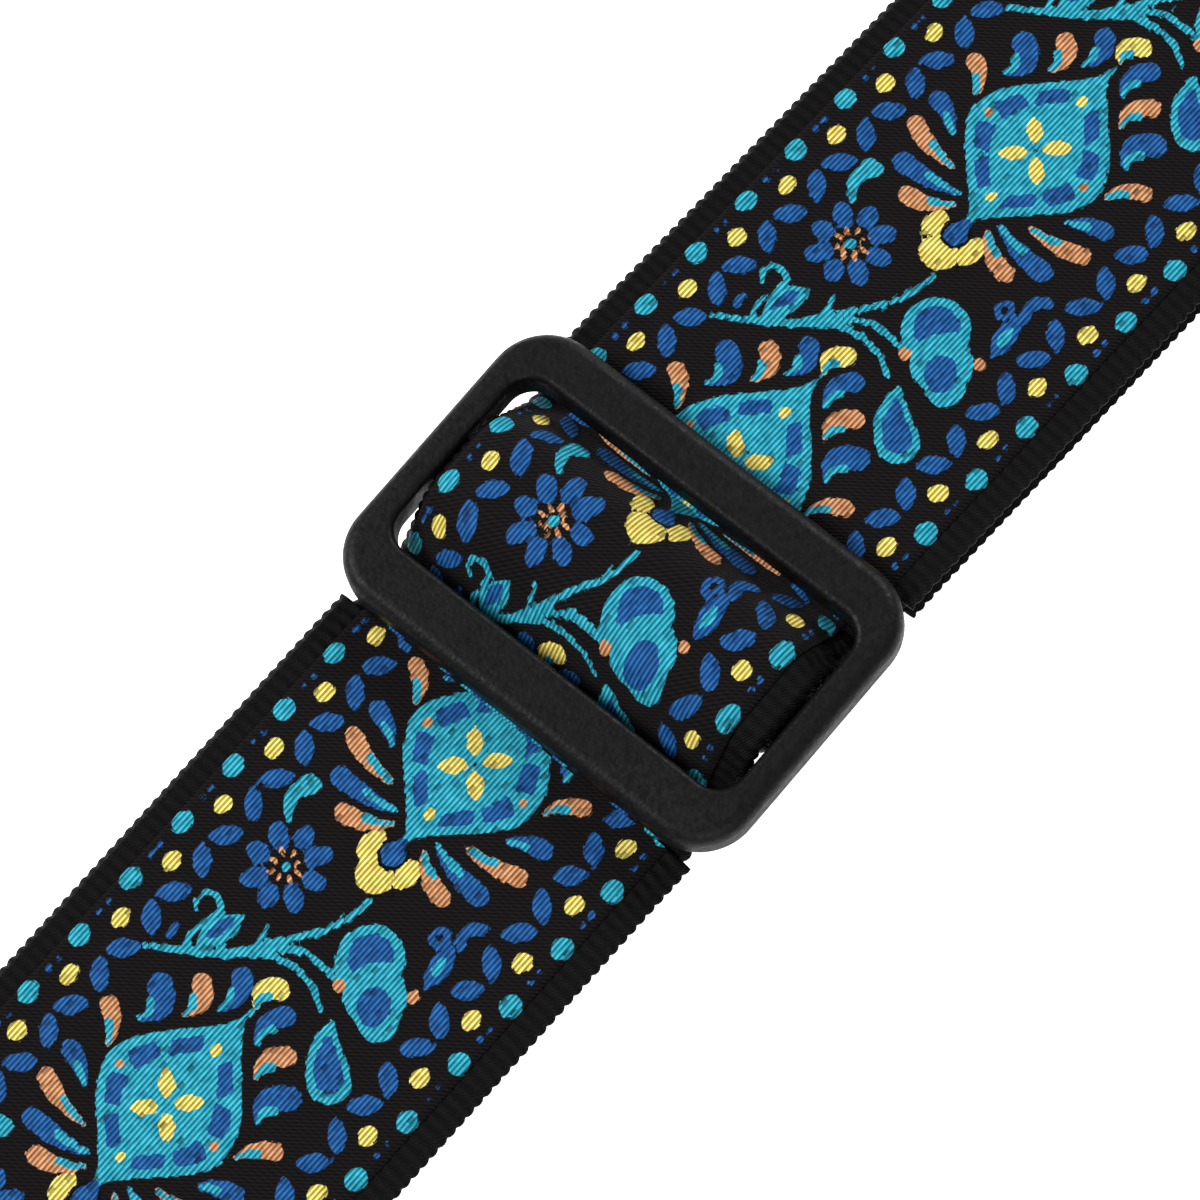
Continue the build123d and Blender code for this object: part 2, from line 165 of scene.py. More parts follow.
class Route:
    """A side-view path of straight runs and tangent arcs, measured by its length."""

    def __init__(self, points: list[Spot], radii: list[float], arc_step: float = 4.0) -> None:
        """Samples the path.

        Args:
            points: Corners as (x, z), in millimetres.
            radii: One radius for each inner corner.
            arc_step: Largest turn between two samples, in degrees.
        """
        places = [np.array(points[0], float)]
        headings = [self._heading(points[0], points[1])]
        for i, radius in enumerate(radii, 1):
            before = self._heading(points[i - 1], points[i])
            after = self._heading(points[i], points[i + 1])
            turn = (after - before + math.pi) % (2 * math.pi) - math.pi
            reach = abs(radius * math.tan(turn / 2))
            corner = np.array(points[i], float)
            entry = corner - reach * np.array([math.cos(before), math.sin(before)])
            steps = max(2, math.ceil(abs(math.degrees(turn)) / arc_step))
            sign = math.copysign(1.0, turn)
            centre = entry + sign * radius * np.array([-math.sin(before), math.cos(before)])
            for k in range(steps + 1):
                angle = before + turn * k / steps
                places.append(centre - sign * radius * np.array([-math.sin(angle), math.cos(angle)]))
                headings.append(angle)
        places.append(np.array(points[-1], float))
        headings.append(headings[-1])
        self.places = np.array(places)
        self.headings = np.unwrap(np.array(headings))
        steps = np.linalg.norm(np.diff(self.places, axis=0), axis=1)
        self.along = np.concatenate([[0.0], np.cumsum(steps)])

    @staticmethod
    def _heading(a: Spot, b: Spot) -> float:
        """Direction from one point to the next, in radians."""
        return math.atan2(b[1] - a[1], b[0] - a[0])

    @property
    def length(self) -> float:
        """The path's length in millimetres."""
        return float(self.along[-1])

    def at(self, along: Field, height: Field) -> tuple[Field, Field]:
        """Places along the path.

        Args:
            along: Lengths from the start.
            height: Offsets to the path's left.

        Returns:
            The x and z of each place, in millimetres.
        """
        x = np.interp(along, self.along, self.places[:, 0])
        z = np.interp(along, self.along, self.places[:, 1])
        heading = np.interp(along, self.along, self.headings)
        return x - np.sin(heading) * height, z + np.cos(heading) * height


@dataclass
class Run:
    """One stretch of the strap: its route, its place on the pattern and how it sits across."""

    name: str
    body: str
    route: Route
    first: float  # the pattern's length at the route's start
    side: Side = Side.FACE  # FACE puts the layers to the route's left
    shift: float = 0.0
    cut_start: float = 0.0  # signed x of a skewed end, or 0 for a square one
    cut_end: float = 0.0
    skewed: bool = False
    flip: bool = False  # the pattern runs against the route

    def place(self, sizes: StrapSizes, centre: Centre, share: Field, across: Field, height: Field) -> Field:
        """Turns strap coordinates into places.

        Args:
            sizes: The strap's sizes.
            centre: The adjuster's middle.
            share: From 0 at the run's start to 1 at its end.
            across: Distance from the strap's middle line.
            height: Height above the webbing's inner face.

        Returns:
            Places in metres, one row each.
        """
        along = self.along(sizes, share, across)
        x, z = self.route.at(along, height * self.side.value)
        y = across + self.shift
        if self.skewed:
            turn = math.radians(sizes.skew)
            x, y = x * math.cos(turn) - y * math.sin(turn), x * math.sin(turn) + y * math.cos(turn)
        return np.stack([x + centre.x, y + centre.y, z], axis=1) * MM

    def along(self, sizes: StrapSizes, share: Field, across: Field) -> Field:
        """Length from the route's start for each share of the run, with its ends cut along the frame."""
        lean = -(across + self.shift) * math.tan(math.radians(sizes.skew))
        reach = sizes.frame_half / math.cos(math.radians(sizes.skew))
        start = np.zeros_like(share)
        end = np.full_like(share, self.route.length)
        if self.cut_start:
            start = self.cut_start * reach + lean - self.route.places[0, 0]
        if self.cut_end:
            end = self.route.length + (self.cut_end * reach + lean - self.route.places[-1, 0])
        return start + (end - start) * share

    def pattern(self, sizes: StrapSizes, share: Field, across: Field) -> Field:
        """Length along the woven pattern for each share of the run."""
        along = self.along(sizes, share, across)
        woven = self.first + (-along if self.flip else along)
        if self.skewed:
            woven = woven - across * math.sin(math.radians(sizes.skew))
        return woven


class StrapLayout:
    """Every stretch of the strap, in order, with the pattern continuous from one to the next."""

    def __init__(self, sizes: StrapSizes) -> None:
        """Works the routes out.

        Args:
            sizes: The strap's sizes.
        """
        self.sizes = sizes
        self.hump = Route(*self._hump_corners())
        half_hump = self.hump.length / 2
        long_route = Route(*self._long_corners())
        face_route = Route(*self._layer_corners(sizes.face_level, sizes.thick + sizes.gap))
        turn_route = Route(*self._turn_corners())
        back_route = Route(*self._layer_corners(sizes.seam_level, sizes.thick))
        face_overlap = sizes.frame_half - face_route.places[0, 0]
        long_overlap = long_route.places[-1, 0] + sizes.frame_half
        face_first = half_hump - face_overlap
        turn_first = face_first + face_route.length
        back_first = turn_first + turn_route.length + back_route.length
        self.runs = [
            Run(
                "long_run",
                "strap",
                long_route,
                -half_hump + long_overlap - long_route.length,
                shift=-sizes.step,
                cut_end=-1,
            ),
            Run("hump", "adjuster", self.hump, -half_hump, skewed=True),
            Run("face_run", "adjuster", face_route, face_first, shift=sizes.step, cut_start=1),
            Run(
                "ring_turn",
                "ring_end",
                turn_route,
                turn_first + turn_route.length,
                side=Side.BACK,
                shift=sizes.step,
                flip=True,
            ),
            Run(
                "return_run",
                "adjuster",
                back_route,
                back_first,
                side=Side.BACK,
                shift=sizes.step,
                cut_start=1,
                flip=True,
            ),
            Run("bar_loop", "adjuster", Route(*self._loop_corners()), 0.0, side=Side.BACK, skewed=True),
        ]

    def _loop_corners(self) -> Corners:
        """The sewn end: up from its tail, over the centre bar, round it and down to the return layer."""
        s = self.sizes
        bar_under = s.frame_height + s.bar_rise
        inner = s.centre_bar_half + s.gap
        over, under = s.centre_bar_top + s.gap, bar_under - s.gap
        level = s.seam_level + s.sewn_gap
        corners, _ = self._hump_corners()
        lean = (corners[4][0] - corners[3][0]) / (corners[3][1] - corners[4][1])
        down = inner + s.loop_spread + (over - s.seam_level) * lean
        bend = s.frame_half + s.slope_start
        end = s.frame_half + s.loop_end
        points = [
            (end, level - (end - bend) * math.tan(math.radians(s.slope))),
            (bend, level),
            (down, level),
            (inner + s.loop_spread, over),
            (-inner, over),
            (-inner, under),
            (inner, under),
            (down - s.loop_nip, s.seam_level),
            (s.frame_half, s.seam_level),
        ]
        tight = (over - under) / 2 - s.loop_ease
        rise, crest, dip, landing = s.loop_bends
        return points, [s.slope_bend, rise, crest, tight, tight, dip, landing]

    def _hump_corners(self) -> Corners:
        """Under the bars and over the centre bar."""
        s = self.sizes
        top = s.centre_bar_top + 2 * s.gap + s.webbing
        half = s.centre_bar_half + s.gap + s.webbing + s.hump_slack
        tab_foot = -self._foot(s.opening_width / 2 - s.opening_shift, top - s.face_level, half)
        ring_foot = self._foot(s.opening_width / 2 + s.opening_shift, top - s.face_level, half)
        points = [
            (-s.frame_half, s.face_level),
            (tab_foot, s.face_level),
            (-half, top),
            (half, top),
            (ring_foot, s.face_level),
            (s.frame_half, s.face_level),
        ]
        return points, [s.foot_bend, s.top_bend, s.top_bend, s.foot_bend]

    def _foot(self, inner_face: float, rise: float, half: float) -> float:
        """How far out the hump's foot stands for the bent strap's top face to clear the bar."""
        foot = inner_face - self.sizes.foot_clear
        for _ in range(20):
            turn = math.atan2(rise, foot - half)
            foot = inner_face - self.sizes.foot_clear - self.sizes.thick * math.tan(turn / 2)
        return foot

    def _slope_end(self, level: float, floor: float) -> float:
        """Where a layer reaches its resting level."""
        s = self.sizes
        return s.frame_half + s.slope_start + (level - floor) / math.tan(math.radians(s.slope))

    def _long_corners(self) -> Corners:
        """From inside the sewn tab to the frame."""
        s = self.sizes
        lift = -s.tab_edge + s.lift_start
        points = [
            (-s.tab_edge - s.in_tab + s.tail_clear, s.leather),
            (lift, s.leather),
            (lift + s.lift_run, 0.0),
            (-self._slope_end(s.face_level, 0.0), 0.0),
            (-s.frame_half - s.slope_start, s.face_level),
            (-s.frame_half + 2 * s.step, s.face_level),
        ]
        return points, [s.floor_bend / 3, s.floor_bend / 3, s.floor_bend, s.slope_bend]

    def _layer_corners(self, level: float, rest: float) -> Corners:
        """From the frame to the teardrop, for a layer that starts at one level and rests at another."""
        s = self.sizes
        points = [
            (s.frame_half - 2 * s.step, level),
            (s.frame_half + s.slope_start, level),
            (self._slope_end(level, rest), rest),
            (s.ring_x - s.turn_length, rest),
        ]
        return points, [s.slope_bend, s.floor_bend]

    def _turn_corners(self) -> Corners:
        """Round the ring's first bar, from the return layer up to the face layer."""
        s = self.sizes
        back = s.ring_x - s.turn_length
        low = max(s.leather, s.thick)
        high = low + 2 * s.loop_radius
        points = [
            (back, s.thick),
            (back + s.turn_ease, s.thick),
            (s.ring_x - s.turn_ease, low),
            (s.ring_x + s.loop_radius, low),
            (s.ring_x + s.loop_radius, high),
            (s.ring_x - s.turn_ease / 2, high),
            (back + s.turn_ease, s.thick + s.gap),
            (back, s.thick + s.gap),
        ]
        tight = s.loop_radius - s.turn_slack
        return points, [s.floor_bend, s.floor_bend, tight, tight, s.turn_bend, s.turn_bend]


def direction(turn: float) -> Spot:
    """The cosine and sine of an angle in degrees."""
    return math.cos(math.radians(turn)), math.sin(math.radians(turn))


class Motifs:
    """The ribbon's drawing, as signed distances in millimetres, positive inside a shape."""

    def __init__(self, along: Field, across: Field, repeat: float) -> None:
        """Takes the places to draw at.

        Args:
            along: Length along the pattern.
            across: Distance from the middle line.
            repeat: Length of one repeat.
        """
        self.repeat = repeat
        self.u = np.mod(along, repeat)
        self.v = across
        blank = np.full(along.shape, -4.0)
        self.layers = {name: blank.copy() for name in LAYER_ORDER}

    def add(self, layer: str, shape: Field) -> None:
        """Joins a shape to a colour layer."""
        self.layers[layer] = np.maximum(self.layers[layer], shape)

    def dot(self, layer: str, *place: float) -> None:
        """Joins an ellipse to a colour layer."""
        self.add(layer, self.ellipse(*place))

    def near(self, u: float, v: float) -> tuple[Field, Field]:
        """Offsets from a place, by the shorter way round the repeat."""
        du = np.mod(self.u - u + self.repeat / 2, self.repeat) - self.repeat / 2
        return du, self.v - v

    def ellipse(self, u: float, v: float, a: float, b: float, turn: float = 0.0) -> Field:
        """An ellipse with half axes a and b, turned by an angle in degrees."""
        du, dv = self.near(u, v)
        c, s = direction(turn)
        p, q = (du * c + dv * s) / a, (-du * s + dv * c) / b
        size = np.hypot(p, q)
        slope = np.hypot(p / a, q / b) / np.maximum(size, 1e-6)
        return (1.0 - size) / np.maximum(slope, 1e-3)

    def leaf(self, u: float, v: float, length: float, width: float, turn: float = 0.0) -> Field:
        """A leaf pointed at both ends: two arcs."""
        du, dv = self.near(u, v)
        c, s = direction(turn)
        p, q = du * c + dv * s, -du * s + dv * c
        radius = (length**2 + width**2) / (4 * width)
        return radius - np.hypot(p, np.abs(q) + radius - width / 2)

    def taper(self, a: Spot, b: Spot, ra: float, rb: float) -> Field:
        """A stroke from a to b with a half width at each end."""
        du, dv = self.near(*a)
        ex, ey = b[0] - a[0], b[1] - a[1]
        share = np.clip((du * ex + dv * ey) / (ex * ex + ey * ey), 0.0, 1.0)
        return ra + (rb - ra) * share - np.hypot(du - ex * share, dv - ey * share)

    def stroke(self, points: list[Spot], widths: list[float]) -> Field:
        """A curved stroke through points, with half widths."""
        shape = np.full(self.u.shape, -4.0)
        for a, b, ra, rb in zip(points, points[1:], widths, widths[1:]):
            shape = np.maximum(shape, self.taper(a, b, ra, rb))
        return shape

    def bow(
        self,
        start: Spot,
        end: Spot,
        bulge: float,
        ra: float,
        rb: float,
    ) -> Field:
        """A stroke bent sideways, as a feather or a comma."""
        count = 6
        points, widths = [], []
        ex, ey = end[0] - start[0], end[1] - start[1]
        for i in range(count + 1):
            t = i / count
            rise = 4 * bulge * t * (1 - t)
            points.append((start[0] + ex * t - ey * rise, start[1] + ey * t + ex * rise))
            widths.append(ra + (rb - ra) * math.sin(t * math.pi / 2))
        return self.stroke(points, widths)

    def draw(self) -> dict[str, Field]:
        """Draws one repeat.

        Returns:
            Each colour layer's distances.
        """
        self.borders()
        self.medallion(42.9, 0.4)
        self.feathers(42.9, 0.4)
        self.half_flower(28.4, 0.4)
        self.star_flower(20.6, 8.4)
        self.branch()
        self.bud(17.2, -7.4)
        self.drop_leaf()
        self.small_sprigs()
        return self.layers

    def borders(self) -> None:
        """Teal dots, blue specks, yellow dots and leaf chevrons along both edges."""
        pitch = self.repeat / 6
        for k in range(6):
            u = k * pitch - 0.1
            for sign in (1, -1):
                edge = 20.6 * sign
                wobble = 0.12 * ((k * 7 + sign) % 3 - 1)
                self.dot("teal", u, edge, 1.42, 1.18 + 0.3 * wobble)
                self.dot("dark", u - 0.3, edge - 0.55, 1.1, 0.09, 2.0)
                self.dot("blue", u + 3.45, edge, 0.52, 0.36)
                self.dot("blue", u + 5.0, edge, 0.52, 0.36)
                self.dot("yellow", u + 4.45, 18.45 * sign, 1.28, 1.0 + wobble * 0.5, 6 * sign)
                self.add("blue", self.leaf(u - 1.75, 15.9 * sign, 4.3, 2.2, 42 * sign))
                self.add("blue", self.leaf(u + 2.1, 15.9 * sign, 4.3, 2.2, -42 * sign))

    def medallion(self, u: float, v: float) -> None:
        """The ogee with its ring of blue dashes and yellow cross."""
        du, dv = self.near(u, v)
        reach = np.where(du < 0, 12.4, 13.6)
        swell = 8.8 * np.power(0.5 + 0.5 * np.cos(np.pi * np.clip(np.abs(du) / reach, 0, 1)), 0.82)
        outline = (swell - np.abs(dv)) * 0.74
        near_tip = self.taper((u - 12.8, v), (u - 7, v), 0.25, 1.0)
        far_tip = self.taper((u + 14, v), (u + 7, v), 0.2, 1.0)
        tips = np.maximum(near_tip, far_tip)
        self.add("teal", np.maximum(outline, tips))
        band = np.minimum(outline - 1.0, 2.7 - outline)
        for turn in (24, 66, 114, 156, 204, 246, 294, 336):
            c, s = direction(turn)
            wedge = 1.75 - np.abs(-du * s + dv * c)
            ahead = du * c + dv * s
            self.add("blue", np.minimum(np.minimum(band, wedge), ahead - 1.0))
        for turn in (45, 135, 225, 315):
            c, s = direction(turn)
            self.add("yellow", self.leaf(u + 2.35 * c * 1.08, v + 2.35 * s, 3.5, 1.9, turn))
        for turn in range(0, 360, 90):
            c, s = direction(turn)
            self.dot("dark", u + 1.9 * c, v + 1.9 * s, 0.3, 0.16, turn)
        self.dot("dark", u, v, 0.34, 0.26)
        self.dot("tan", u, v + 7.0, 0.62, 0.5)
        self.dot("tan", u, v - 7.0, 0.62, 0.5)
        self.dot("yellow", u - 7.6, v, 0.75, 0.6)
        self.dot("yellow", u + 8.0, v, 0.85, 0.6)

    def plume(
        self,
        tip: str,
        root: Spot,
        end: Spot,
        bulge: float,
        fat: float,
    ) -> None:
        """A feather whose teal quill widens into a coloured tip."""
        self.add(tip, self.bow(root, end, bulge, 0.35, fat))
        middle = (root[0] * 0.45 + end[0] * 0.55, root[1] * 0.45 + end[1] * 0.55)
        self.add("light", self.bow(root, middle, bulge * 0.7, 0.3, 0.5))

    def feathers(self, u: float, v: float) -> None:
        """Plumes that fan from both points of the ogee, mirrored about it."""
        for sign in (1, -1):

            def at(du: float, dv: float, sign: int = sign) -> Spot:
                """A place from the ogee's middle, on this side."""
                return u + du, v + dv * sign

            self.plume("tan", at(-11.0, 2.4), at(-13.6, 7.2), 0.10 * sign, 1.15)
            self.plume("blue", at(-9.6, 3.0), at(-10.8, 10.2), 0.05 * sign, 1.25)
            self.plume("tan", at(-7.6, 5.6), at(-6.4, 12.2), 0.06 * sign, 1.1)
            self.plume("blue", at(-4.4, 8.4), at(-2.4, 12.2), -0.06 * sign, 1.15)
            self.plume("tan", at(0.8, 9.6), at(4.0, 12.4), -0.12 * sign, 1.05)
            self.plume("blue", at(5.0, 8.9), at(9.3, 9.6), -0.34 * sign, 1.45)
            self.plume("tan", at(8.6, 5.4), at(12.6, 6.3), -0.26 * sign, 1.15)
            self.plume("blue", at(11.6, 2.9), at(15.9, 3.3), -0.22 * sign, 1.2)
        self.plume("yellow", (u + 14.6, v), (u + 17.6, v - 0.6), 0.3, 1.25)

    def half_flower(self, u: float, v: float) -> None:
        """Three yellow petals round a blue heart."""
        self.dot("yellow", u - 2.1, v, 2.1, 2.3)
        self.dot("yellow", u + 0.2, v + 2.5, 2.1, 1.35, 8)
        self.dot("yellow", u + 0.2, v - 2.6, 2.1, 1.35, -8)
        for sign in (1, -1):
            self.add("dark", self.taper((u - 2.6, v + 3.2 * sign), (u - 0.4, v + 1.3 * sign), 0.22, 0.14))
        self.dot("dark", u + 0.9, v, 1.9, 1.75)
        self.add("heart", np.maximum(self.ellipse(u + 0.9, v, 1.5, 1.35), self.ellipse(u + 2.4, v, 0.8, 0.7)))

    def star_flower(self, u: float, v: float) -> None:
        """Eight blue petals, eight tan stamens and a teal eye."""
        for k in range(8):
            turn = 45 * k + 12
            c, s = direction(turn)
            length = 1.75 if k % 2 else 1.45
            self.dot("blue", u + 3.5 * c * 1.08, v + 3.5 * s, length, 1.15, turn)
            self.dot("tan", u + 1.55 * c, v + 1.55 * s, 0.72, 0.3, turn)
        self.dot("light", u, v, 0.75, 0.6)

    def branch(self) -> None:
        """The forked teal branch with its curl and long tendril."""
        stem = [(3.8, 14.3), (5.6, 11.6), (7.4, 8.9), (10.2, 5.6)]
        stem += [(12.2, 3.0), (12.9, 0.2), (12.6, -2.8), (11.2, -5.2)]
        self.add("teal", self.stroke(stem, [0.4, 0.42, 0.5, 0.55, 0.45, 0.4, 0.4, 0.3]))
        twin = [(10.4, 5.4), (13.4, 2.9), (14.9, 0.4), (15.0, -2.6), (14.7, -4.6)]
        self.add("teal", self.stroke(twin, [0.4, 0.42, 0.42, 0.4, 0.34]))
        tendril = [(8.8, 6.8), (11.8, 4.9), (15.0, 2.6), (18.4, 0.2), (21.0, -0.8), (23.8, -1.1)]
        self.add("teal", self.stroke(tendril, [0.45, 0.42, 0.4, 0.4, 0.38, 0.36]))
        self.add("teal", self.stroke([(11.2, 5.0), (13.0, 5.1), (14.7, 5.6)], [0.35, 0.32, 0.26]))
        curl = [(6.4, 10.8), (8.4, 11.4), (10.4, 10.9), (12.4, 10.6)]
        curl += [(13.2, 11.9), (12.8, 13.3), (11.4, 13.5), (10.5, 12.7)]
        self.add("teal", self.stroke(curl, [0.3, 0.34, 0.36, 0.4, 0.4, 0.38, 0.34, 0.28]))
        self.add("teal", self.leaf(10.4, 9.1, 6.6, 3.0, -14))
        self.add("blue", self.leaf(10.7, 9.3, 4.4, 1.5, -14))
        self.dot("blue", 7.2, 13.1, 1.2, 0.5, 4)

    def bud(self, u: float, v: float) -> None:
        """Two teal cups with blue hearts, one in the other, and tan dots at each end."""
        self.dot("teal", u + 1.6, v + 1.7, 4.2, 3.9, 20)
        self.dot("blue", u + 2.0, v + 1.9, 2.7, 2.6, 20)
        self.dot("dark", u - 0.6, v - 0.6, 4.1, 0.2, -58)
        self.dot("light", u - 0.9, v - 1.3, 3.6, 3.6, 30)
        self.dot("light", u - 2.4, v - 3.0, 3.0, 2.4, 45)
        self.dot("heart", u - 1.9, v - 2.0, 2.3, 1.9, 30)
        self.dot("light_top", u + 1.5, v + 0.1, 2.4, 0.95, -38)
        self.dot("tan", u - 2.7, v + 2.5, 0.8, 0.75)
        self.dot("tan_top", u - 2.7, v + 2.5, 0.8, 0.75)
        self.dot("tan_top", u + 1.8, v - 4.5, 0.85, 0.7)

    def drop_leaf(self) -> None:
        """A blue drop with a teal rim."""
        self.add("teal", self.bow((11.0, -7.0), (5.9, -11.3), -0.08, 0.3, 2.5))
        self.add("blue", self.bow((9.9, -7.9), (6.2, -11.0), -0.08, 0.15, 1.65))

    def small_sprigs(self) -> None:
        """The comma, ringlet and little leaf that fill the ground."""
        self.add("teal", self.bow((24.7, 11.7), (29.4, 12.3), 0.26, 0.35, 1.0))
        self.dot("teal", 29.2, 13.1, 0.9, 1.1, 70)
        ring = self.ellipse(25.8, -9.7, 1.4, 1.15)
        self.add("blue", np.minimum(ring, 0.85 - ring))
        self.add("blue", self.leaf(23.4, -11.9, 6.2, 2.5, 8))
        self.add("light", self.leaf(23.2, -11.9, 3.4, 1.2, 8))
        self.add("blue", self.bow((26.4, -12.2), (29.6, -12.7), 0.3, 0.6, 0.75))


def link_piece(mesh: bpy.types.Mesh) -> bpy.types.Object:
    """Puts a mesh in the scene as an object of the same name."""
    piece = bpy.data.objects.new(mesh.name, mesh)
    bpy.context.scene.collection.objects.link(piece)
    return piece


def smooth_step(low: float, high: float, value: Field) -> Field:
    """A soft step from 0 at low to 1 at high."""
    t = np.clip((value - low) / (high - low), 0.0, 1.0)
    return t * t * (3 - 2 * t)


@dataclass
class StrapCloth:
    """The strap's webbing and ribbon as meshes with their weave in relief."""

    sizes: StrapSizes
    centre: Centre
    cell: float = 0.5  # ribbon mesh, mm
    rib: float = 1.45  # pitch of the webbing's ribs
    rib_samples: int = 4
    selvedge: float = 3.4  # width of ribbed edge beside the ribbon
    float_rise: float = 0.16  # how far the coloured floats stand up
    stitch_pitch: float = 2.6
    stitch_line: float = 21.15
    stitch_rise: float = 0.13
    stitch_half: float = 0.28
    ripple: float = 0.04  # slow unevenness of the ribbon
    knot_rise: float = 0.34  # height of the selvedge's knots
    knot_sink: float = 0.22
    edge_round: float = 0.42
    scallop: float = 0.34
    edge_draw: float = 0.3  # the edge is drawn in this far between scallops
    curl_depth: float = 1.1
    curl_from: float = 17.5
    curl_to: float = 24.5

    def grid(self, name: str, columns: int, rows: int) -> tuple[bpy.types.Mesh, Field, Field]:
        """A flat grid to be bent into a layer.

        Args:
            name: The mesh's name.
            columns: Faces along the strap.
            rows: Faces across it.

        Returns:
            The mesh with each vertex's share along and across, from 0 to 1.
        """
        shape = bmesh.new()
        bmesh.ops.create_grid(shape, x_segments=columns, y_segments=rows, size=0.5)
        mesh = bpy.data.meshes.new(name)
        shape.to_mesh(mesh)
        shape.free()
        flat = np.empty(len(mesh.vertices) * 3)
        mesh.vertices.foreach_get("co", flat)
        flat = flat.reshape(-1, 3) + 0.5
        return mesh, np.clip(flat[:, 0], 0, 1), np.clip(flat[:, 1], 0, 1)

    def finish(self, mesh: bpy.types.Mesh, places: Field, woven: Field, across: Field) -> bpy.types.Object:
        """Sets a layer's places, its woven coordinates and smooth shading."""
        mesh.vertices.foreach_set("co", places.ravel())
        weave = mesh.attributes.new("weave_mm", "FLOAT_VECTOR", "POINT")
        weave.data.foreach_set("vector", np.stack([woven, across, np.zeros_like(woven)], axis=1).ravel())
        mesh.shade_smooth()
        mesh.update()
        return link_piece(mesh)

    def ribbon(self, run: Run) -> bpy.types.Object:
        """The patterned ribbon along one run.

        Args:
            run: The stretch of strap.

        Returns:
            The new piece.
        """
        sizes = self.sizes
        columns = round(run.route.length / self.cell)
        rows = round(sizes.ribbon_width / self.cell)
        mesh, share, side = self.grid(f"jacquard_{run.name}", columns, rows)
        across = (side - 0.5) * sizes.ribbon_width
        woven = run.pattern(sizes, share, across)
        layers = Motifs((woven - PATTERN_START) * PATTERN_DRAWN / sizes.repeat, across, PATTERN_DRAWN).draw()
        top = np.full(across.shape, -4.0)
        for name in LAYER_ORDER:
            top = np.minimum(top, -layers[name]) if name == "dark" else np.maximum(top, layers[name])
        relief = self.float_rise * smooth_step(-0.2, 0.35, top)
        inset = sizes.ribbon_width / 2 - np.abs(across)
        skirt = smooth_step(-0.05, 0.6, inset)
        thread = self.stitch_rise * np.abs(np.sin(np.pi * woven / self.stitch_pitch)) ** 0.6
        thread = thread * np.exp(-(((np.abs(across) - self.stitch_line) / self.stitch_half) ** 2))
        wave = self.ripple * np.sin(woven * 0.9) * np.cos(across * 0.55 + woven * 0.13)
        height = sizes.webbing + sizes.ribbon * skirt + (relief - self.float_rise + wave) * skirt + thread
        lean = sizes.hump_shift if run.skewed else 0.0
        height = height - self.curl(run, across + lean)
        piece = self.finish(mesh, run.place(sizes, self.centre, share, across + lean, height), woven, across)
        for i in range(0, len(LAYER_ORDER), 3):
            packed = mesh.attributes.new(f"motif_{i // 3}", "FLOAT_VECTOR", "POINT")
            values = np.stack([np.clip(layers[name], -3, 3) for name in LAYER_ORDER[i : i + 3]], axis=1)
            packed.data.foreach_set("vector", values.ravel())
        return piece

    def curl(self, run: Run, across: Field) -> Field:
        """How far the squeezed strap's edges turn down between the rails."""
        if run.name != "hump":
            return np.zeros_like(across)
        return self.curl_depth * smooth_step(self.curl_from, self.curl_to, np.abs(across))

    def section(self) -> tuple[Field, Field]:
        """The webbing's cross-section as a loop from one edge over the top, then back underneath.

        Returns:
            Distance across and height for each point of the loop.
        """
        sizes = self.sizes
        half = sizes.width / 2
        edge = np.linspace(0.0, self.selvedge, 10)
        middle = np.linspace(self.selvedge, sizes.width - self.selvedge, 7)[1:-1]
        top = np.concatenate([edge, middle, sizes.width - edge[::-1]]) - half
        bottom = np.linspace(half, -half, 34)
        across = np.concatenate([top, bottom])
        height = np.concatenate([np.full(top.shape, sizes.webbing), np.zeros(bottom.shape)])
        return across, height

    def webbing(self, run: Run) -> bpy.types.Object:
        """The ribbed webbing along one run, a closed band with corded edges.

        Args:
            run: The stretch of strap.

        Returns:
            The new piece.
        """
        sizes = self.sizes
        loop_across, loop_height = self.section()
        columns = round(run.route.length / self.rib * self.rib_samples)
        mesh, share, side = self.grid(f"webbing_{run.name}_cloth", columns, len(loop_across))
        index = side * len(loop_across)
        loop_across = np.append(loop_across, loop_across[0])
        loop_height = np.append(loop_height, loop_height[0])
        order = np.arange(len(loop_across))
        across = np.interp(index, order, loop_across)
        height = np.interp(index, order, loop_height)
        woven = run.pattern(sizes, share, across)
        inset = sizes.width / 2 - np.abs(across)
        upper = height > sizes.webbing / 2
        row = np.floor(inset / (self.selvedge / 2))
        beat = np.abs(np.cos(np.pi * (woven / self.rib + 0.5 * row))) ** 0.8
        cord = np.sin(np.pi * np.clip(inset / (self.selvedge / 2) - row, 0, 1)) ** 0.6
        knots = (self.knot_rise * cord * beat - self.knot_sink) * (inset < self.selvedge)
        under = 0.10 * np.cos(2 * np.pi * woven / self.rib) * np.cos(np.pi * across / 1.6)
        rounding = self.edge_round * (1 - smooth_step(0.0, 0.9, inset))
        height = height + np.where(upper, knots - rounding, -under * 0.6 + rounding + 0.06)
        scallop = self.scallop * np.abs(np.sin(np.pi * woven / self.rib)) ** 0.7
        pull = 1 - smooth_step(0.0, 1.2, inset)
        across_out = across - np.sign(across) * (self.edge_draw - scallop) * pull
        if run.skewed:
            across_out = across_out * sizes.hump_width / sizes.width
            height = height - self.curl(run, across_out)
        places = run.place(sizes, self.centre, share, across_out, height)
        piece = self.finish(mesh, places, woven, across)
        shape = bmesh.new()
        shape.from_mesh(mesh)
        bmesh.ops.remove_doubles(shape, verts=shape.verts, dist=0.00002)
        rims = [e for e in shape.edges if e.is_boundary]
        bmesh.ops.holes_fill(shape, edges=rims, sides=0)
        bmesh.ops.recalc_face_normals(shape, faces=shape.faces)
        shape.to_mesh(mesh)
        shape.free()
        return piece


